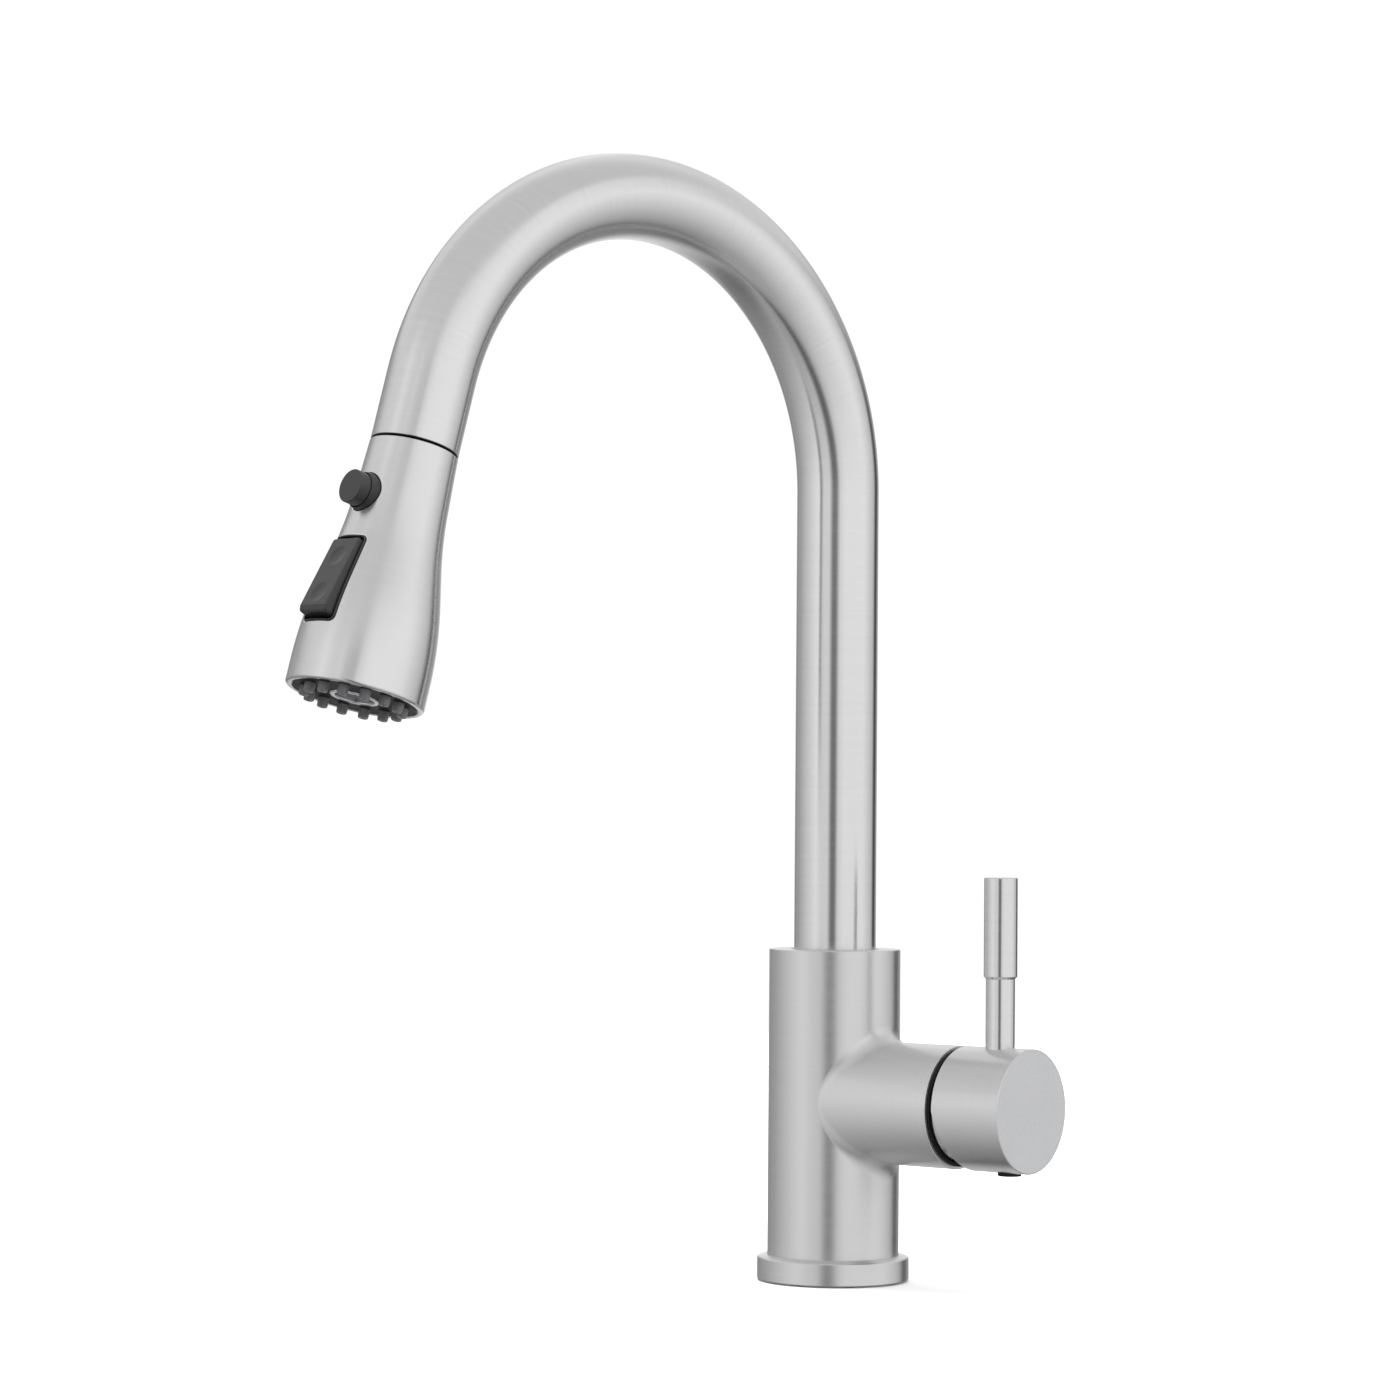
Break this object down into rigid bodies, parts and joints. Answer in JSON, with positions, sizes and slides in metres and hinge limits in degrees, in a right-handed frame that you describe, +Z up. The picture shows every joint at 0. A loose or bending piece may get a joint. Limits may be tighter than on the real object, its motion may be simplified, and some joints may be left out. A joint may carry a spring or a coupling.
{
  "type": "pull-down kitchen faucet",
  "caption": "High-arch kitchen faucet with swivelling spout, pull-out spray head with pause button and rocker, and side lever valve.",
  "frame": {"origin": "centre of the base on the deck plane, at the mouth of the shank socket", "axes": "+Z up along the body tube, +X along the valve arm towards the lever, the spout to -Y and swung 8.8 degrees towards -X at rest"},
  "size_m": [0.1439, 0.2707, 0.4],
  "materials": {
    "brushed_steel": "satin, brushed round the axis",
    "bright_steel": "bright turned",
    "brass": "machined",
    "black_plastic": "matt moulded",
    "white_plastic": "moulded",
    "ceramic": "lapped",
    "rubber": "soft seal",
    "nozzle_silicone": "soft grey silicone",
    "hose_braid": "tight nylon braid over rubber"
  },
  "bodies": {
    "faucet_body": {"body_shell": "brushed_steel", "base_flange": "brushed_steel", "base_gasket": "rubber", "mounting_socket": "brass", "valve_seat": "brass", "cartridge_base": "white_plastic", "cartridge_seals": "rubber", "fixed_disc": "ceramic", "cartridge_housing": "white_plastic", "cartridge_nut": "brass", "handle_bonnet": "bright_steel", "handle_trim_ring": "black_plastic", "swivel_collar": "brass", "upper_swivel_bush": "black_plastic", "lower_swivel_bush": "white_plastic", "spout_retaining_ring": "bright_steel"},
    "spout": {"spout_tube": "brushed_steel", "spout_foot": "brass", "spout_o_rings": "rubber", "docking_insert": "black_plastic", "docking_seal": "rubber", "pull_hose": "hose_braid", "hose_lower_ferrule": "bright_steel", "hose_end_fitting": "brass"},
    "hose_tip": {"hose_upper_ferrule": "bright_steel", "hose_cone": "brass"},
    "spray_head": {"head_shell": "brushed_steel", "head_core": "black_plastic", "hose_nut": "brass", "hose_washer": "rubber", "inlet_screen": "bright_steel", "check_valve": "white_plastic", "spray_faceplate": "black_plastic", "nozzle_mat": "nozzle_silicone", "aerator_housing": "black_plastic", "aerator_screen": "bright_steel", "aerator_insert": "white_plastic", "button_bezel": "black_plastic", "pause_button_spring": "bright_steel", "rocker_frame": "black_plastic", "rocker_pivot_pin": "bright_steel"},
    "pause_button": {"pause_button": "black_plastic"},
    "rocker": {"rocker_switch": "black_plastic"},
    "diverter": {"diverter_spool": "white_plastic"},
    "cartridge_spindle": {"spindle_collar": "white_plastic", "stem_pin": "bright_steel"},
    "ceramic_slider": {"moving_disc": "ceramic", "disc_carrier": "white_plastic"},
    "handle": {"handle_hub": "brushed_steel", "lever_rod": "brushed_steel", "valve_stem": "brass", "handle_set_screw": "bright_steel", "set_screw_plug": "black_plastic"}
  },
  "joints": [
    {"name": "spout_swivel", "type": "hinge", "parent": "faucet_body", "child": "spout", "pos_m": [0, 0, 0.1], "axis": [0, 0, 1], "continuous": true},
    {"name": "spray_head_pull", "type": "slide", "parent": "spout", "child": "hose_tip", "axis": [-0.0426, -0.2749, -0.9605], "range_m": [0, 0.4], "stiffness_N_per_m": 10, "springref_m": -0.6, "deforming": ["pull_hose"]},
    {"name": "spray_head_spin", "type": "hinge", "parent": "hose_tip", "child": "spray_head", "pos_m": [-0.03046, -0.19674, 0.29025], "axis": [-0.0426, -0.2749, -0.9605], "continuous": true},
    {"name": "pause_button_press", "type": "slide", "parent": "spray_head", "child": "pause_button", "axis": [0.1469, 0.9492, -0.2782], "range_m": [0, 0.002], "stiffness_N_per_m": 800, "springref_m": -0.003, "deforming": ["pause_button_spring"]},
    {"name": "rocker_toggle", "type": "hinge", "parent": "spray_head", "child": "rocker", "pos_m": [-0.03529, -0.22797, 0.24446], "axis": [0.9882, -0.153, 0], "range_deg": [0, 8]},
    {"name": "diverter_slide", "type": "slide", "parent": "spray_head", "child": "diverter", "axis": [-0.0426, -0.2749, -0.9605], "range_m": [-0.0014, 0]},
    {"name": "handle_turn", "type": "hinge", "parent": "faucet_body", "child": "cartridge_spindle", "pos_m": [0.052, 0, 0.065], "axis": [1, 0, 0], "range_deg": [-45, 45]},
    {"name": "handle_tilt", "type": "hinge", "parent": "cartridge_spindle", "child": "handle", "pos_m": [0.052, 0, 0.065], "axis": [0, 1, 0], "range_deg": [0, 18]},
    {"name": "slider_travel", "type": "slide", "parent": "cartridge_spindle", "child": "ceramic_slider", "axis": [0, 0, 1], "range_m": [0, 0.0025]}
  ],
  "couplings": [
    {"joint": "diverter_slide", "follows": "rocker_toggle", "m_per_rad": -0.0093},
    {"joint": "slider_travel", "follows": "handle_tilt", "m_per_rad": 0.0075}
  ]
}
